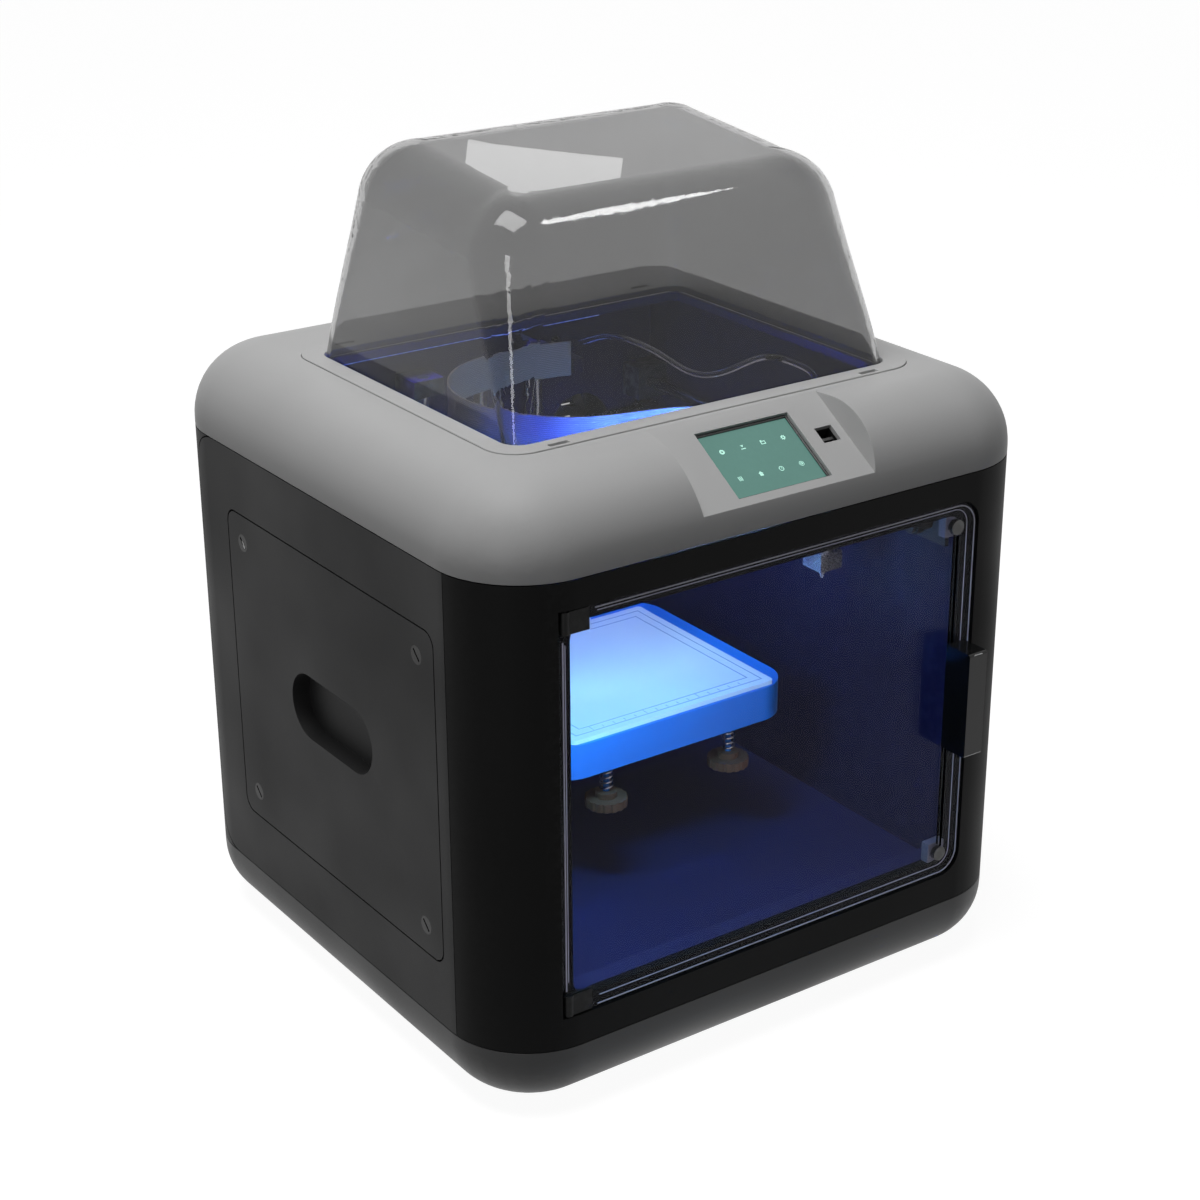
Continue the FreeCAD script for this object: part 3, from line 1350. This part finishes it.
def power_switch():
    """The rocker of the power switch, on a pivot pin."""
    outline = rod("rocker_round", "switch_tall / 2 - rest_gap",
                  ("switch_x - switch_width / 2", "switch_x + switch_width / 2"), "switch_y", "inlet_height")
    trim = box("rocker_trim", ("-body_width", "body_width"),
               ("switch_y - rocker_sink", "switch_y + rocker_rise"), ("0", "deck_height"))
    reach = "switch_width / 2 + switch_pin_reach"
    pin = rod("rocker_pin", "switch_pin_radius", (f"switch_x - ({reach})", f"switch_x + {reach}"), "switch_y",
              "inlet_height")
    finish("power_switch", fuse("rocker", common("rocker_body", outline, trim), pin))


def fan_frame():
    """The frame of the exhaust fan, on the inside of the rear shell."""
    half = "fan_size / 2"
    block = rounded("fan_block", (f"fan_centre - {half}", f"fan_centre + {half}"),
                    ("inner_back - fan_thick", "inner_back"),
                    (f"fan_height - {half}", f"fan_height + {half}"), "fan_round", "y")
    hole = rod("fan_hole", "fan_reach + 1", "fan_centre", ("0", "body_depth"), "fan_height")
    bar = ("inner_back - fan_bar_depth", "inner_back")
    bars = [box("fan_bar_across", (f"fan_centre - {half} + 1", f"fan_centre + {half} - 1"), bar,
                ("fan_height - fan_bar_width / 2", "fan_height + fan_bar_width / 2")),
            box("fan_bar_up", ("fan_centre - fan_bar_width / 2", "fan_centre + fan_bar_width / 2"), bar,
                (f"fan_height - {half} + 1", f"fan_height + {half} - 1"))]
    seat = rod("fan_seat", "fan_hub - 1", "fan_centre", ("inner_back - fan_seat_depth", "inner_back"),
               "fan_height")
    axle = rod("fan_axle", "fan_axle_radius", "fan_centre",
               ("inner_back - fan_thick + fan_seat_depth", "inner_back - 1"), "fan_height")
    finish("fan_frame", fuse("fan_whole", cut("fan_open", block, hole), *bars, seat, axle))


def fan_rotor():
    """The hub and the slanted blades of the exhaust fan."""
    hub_back = "inner_back - fan_seat_depth - rest_gap"
    hub = rod("fan_hub_disc", "fan_hub", "fan_centre", ("inner_back - fan_thick + 1", hub_back), "fan_height")
    count = int(size("blade_count"))
    twist = FreeCAD.Rotation(Vector(1, 0, 0), size("blade_twist"))
    blades = []
    for number in range(count):
        blade = doc.addObject("Part::Box", f"fan_blade_{number}")
        bind(blade, "Length", "fan_reach - fan_hub + 1")
        bind(blade, "Width", "blade_thick")
        bind(blade, "Height", "blade_width")
        turn = FreeCAD.Rotation(Vector(0, 1, 0), 360 / count * (number + 0.25))
        blade.Placement.Rotation = turn.multiply(twist)
        reach = turn.multVec(Vector(1, 0, 0))
        put(blade, f"fan_centre + (fan_hub - 2) * {reach.x:.5f}", "inner_back - fan_thick / 2",
            f"fan_height + (fan_hub - 2) * {reach.z:.5f}")
        blades.append(blade)
    bore = rod("fan_bore", "fan_axle_radius + bearing_gap", "fan_centre", ("0", "body_depth"), "fan_height")
    finish("fan_rotor", cut("fan_rotor_cut", fuse("fan_rotor_whole", hub, *blades), bore))


# ---------------------------------------------------------------- cables

def curve(points):
    """A smooth curve through points."""
    line = Part.BSplineCurve()
    line.interpolate([Vector(*point) for point in points])
    return line


def ribbon_cable():
    """The flat cable on edge, from the feeder round to its arm on the back wall."""
    low, tall, half = size("ribbon_bottom"), size("ribbon_height"), size("ribbon_thick") / 2
    line = curve([(x, y, low) for x, y in RIBBON_ROUTE])
    start, count = line.FirstParameter, 32
    steps = [start + (line.LastParameter - start) * step / count for step in range(count + 1)]
    across = [line.tangent(step)[0].cross(Vector(0, 0, 1)) * half for step in steps]
    near = [line.value(step) + aside for step, aside in zip(steps, across)]
    far = [line.value(step) - aside for step, aside in zip(steps, across)]
    sides = [curve(near), curve(far)]
    ends = [Part.LineSegment(near[0], far[0]), Part.LineSegment(near[-1], far[-1])]
    edges = [piece.toShape() for piece in (sides[0], ends[1], sides[1], ends[0])]
    outline = Part.Wire(Part.__sortEdges__(edges))
    finish("ribbon_cable", own("ribbon", Part.Face(outline).extrude(Vector(0, 0, tall))))


def guide_tube():
    """The clear tube that leads the thread from the back wall to the feeder."""
    line = curve(TUBE_ROUTE)
    start, way = line.value(line.FirstParameter), line.tangent(line.FirstParameter)[0]
    ring = Part.Wire(Part.Circle(start, way, size("tube_radius")).toShape())
    finish("guide_tube", own("tube", Part.Wire(line.toShape()).makePipeShell([ring], True, True)))


# ----------------------------------------------------------------- build

def build():
    """Builds every sub-part, checks it and writes its STEP file."""
    os.makedirs("parts", exist_ok=True)
    fill_sheet()
    for make in (base_tray, rubber_feet, front_frame, rear_shell, top_cover, deck_trim, touch_screen,
                 usb_socket, door_panel, door_hinges, door_handle, door_fasteners, door_catches, dome,
                 chamber_floor, chamber_walls, led_strips, z_rods, z_rod_clamps, z_motor, lead_screw,
                 platform_arm, z_bearings, platform_tray, leveling_springs, knobs, build_plate,
                 y_rods, y_rod_holders, y_belts, y_drive_shaft, y_motor, y_blocks, x_rods, x_motor,
                 x_pulley, x_belt, carriage_block, extruder, hotend, spool_pin, filament_spool,
                 power_supply, main_board, power_inlet, power_switch, fan_frame, fan_rotor,
                 ribbon_cable, guide_tube):
        make()
    for side in ("left", "right"):
        side_panel(side)
        cover_plate(side)
        cover_locks(side)
    doc.recompute()
    for piece in doc.Objects:
        if {"Invalid", "Error"} & set(piece.State):
            raise RuntimeError(f"{piece.Name} did not recompute")
    for piece in finished:
        if piece.Shape.isNull() or not piece.Shape.isValid():
            raise RuntimeError(f"{piece.Label} has no valid shape")
        piece.Shape.exportStep(f"parts/{piece.Label}.step")


build()
